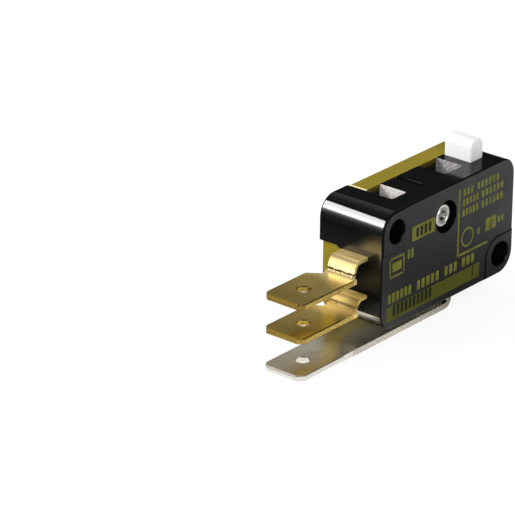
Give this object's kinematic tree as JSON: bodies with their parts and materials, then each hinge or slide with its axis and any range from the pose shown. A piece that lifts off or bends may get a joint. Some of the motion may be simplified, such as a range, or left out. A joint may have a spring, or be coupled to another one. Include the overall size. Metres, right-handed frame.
{
  "type": "miniature snap-action switch",
  "caption": "Miniature snap-action switch with a push plunger, flat blade terminals and a riveted two-colour case.",
  "frame": {"origin": "axis of the round mounting hole near the terminals, half-way through the case thickness", "axes": "+X along the case from the terminal end to the plunger end, +Y from the black printed face to the olive cover, +Z the way the plunger stands out of the case"},
  "size_m": [0.0417, 0.0104, 0.0211],
  "materials": {
    "black_moulding": "glossy black thermoset on the edges, satin on the printed face",
    "olive_moulding": "matt olive thermoset",
    "white_nylon": "slightly translucent white nylon",
    "rivet_metal": "nickel plated steel",
    "brass_strip": "bright rolled brass",
    "plated_strip": "tin plated brass",
    "contact_silver": "silver alloy",
    "spring_bronze": "phosphor bronze",
    "lever_steel": "stainless steel strip",
    "spring_steel": "stainless spring wire"
  },
  "bodies": {
    "case": {"housing": "black_moulding", "cover": "olive_moulding", "case_rivet": "rivet_metal", "common_terminal": "plated_strip", "closed_terminal": "brass_strip", "open_terminal": "brass_strip", "closed_contact": "contact_silver", "open_contact": "contact_silver"},
    "push_pin": {"plunger": "white_nylon"},
    "lever": {"actuating_lever": "lever_steel"},
    "arm": {"contact_arm": "spring_bronze", "moving_contact": "contact_silver"},
    "spring": {"tension_spring": "spring_steel"}
  },
  "joints": [
    {"name": "plunger_slide", "type": "slide", "parent": "case", "child": "push_pin", "axis": [0, 0, -1], "range_m": [0, 0.0014], "stiffness_N_per_m": 900, "springref_m": -0.001},
    {"name": "lever_hinge", "type": "hinge", "parent": "case", "child": "lever", "pos_m": [0.0141, -0.00035, -0.00607], "axis": [0, 1, 0], "range_deg": [0, 13.1]},
    {"name": "arm_hinge", "type": "hinge", "parent": "case", "child": "arm", "pos_m": [0.0136, -0.00035, -0.00607], "axis": [0, -1, 0], "range_deg": [0, 4.37]},
    {"name": "spring_swing", "type": "hinge", "parent": "arm", "child": "spring", "pos_m": [0.00505, -0.00035, -0.00575], "axis": [0, 1, 0], "range_deg": [0, 5.21]}
  ],
  "couplings": [
    {"joint": "lever_hinge", "follows": "plunger_slide", "rad_per_m": 163.31},
    {"joint": "arm_hinge", "follows": "plunger_slide", "rad_per_m": 54.517},
    {"joint": "spring_swing", "follows": "plunger_slide", "rad_per_m": 64.951}
  ]
}
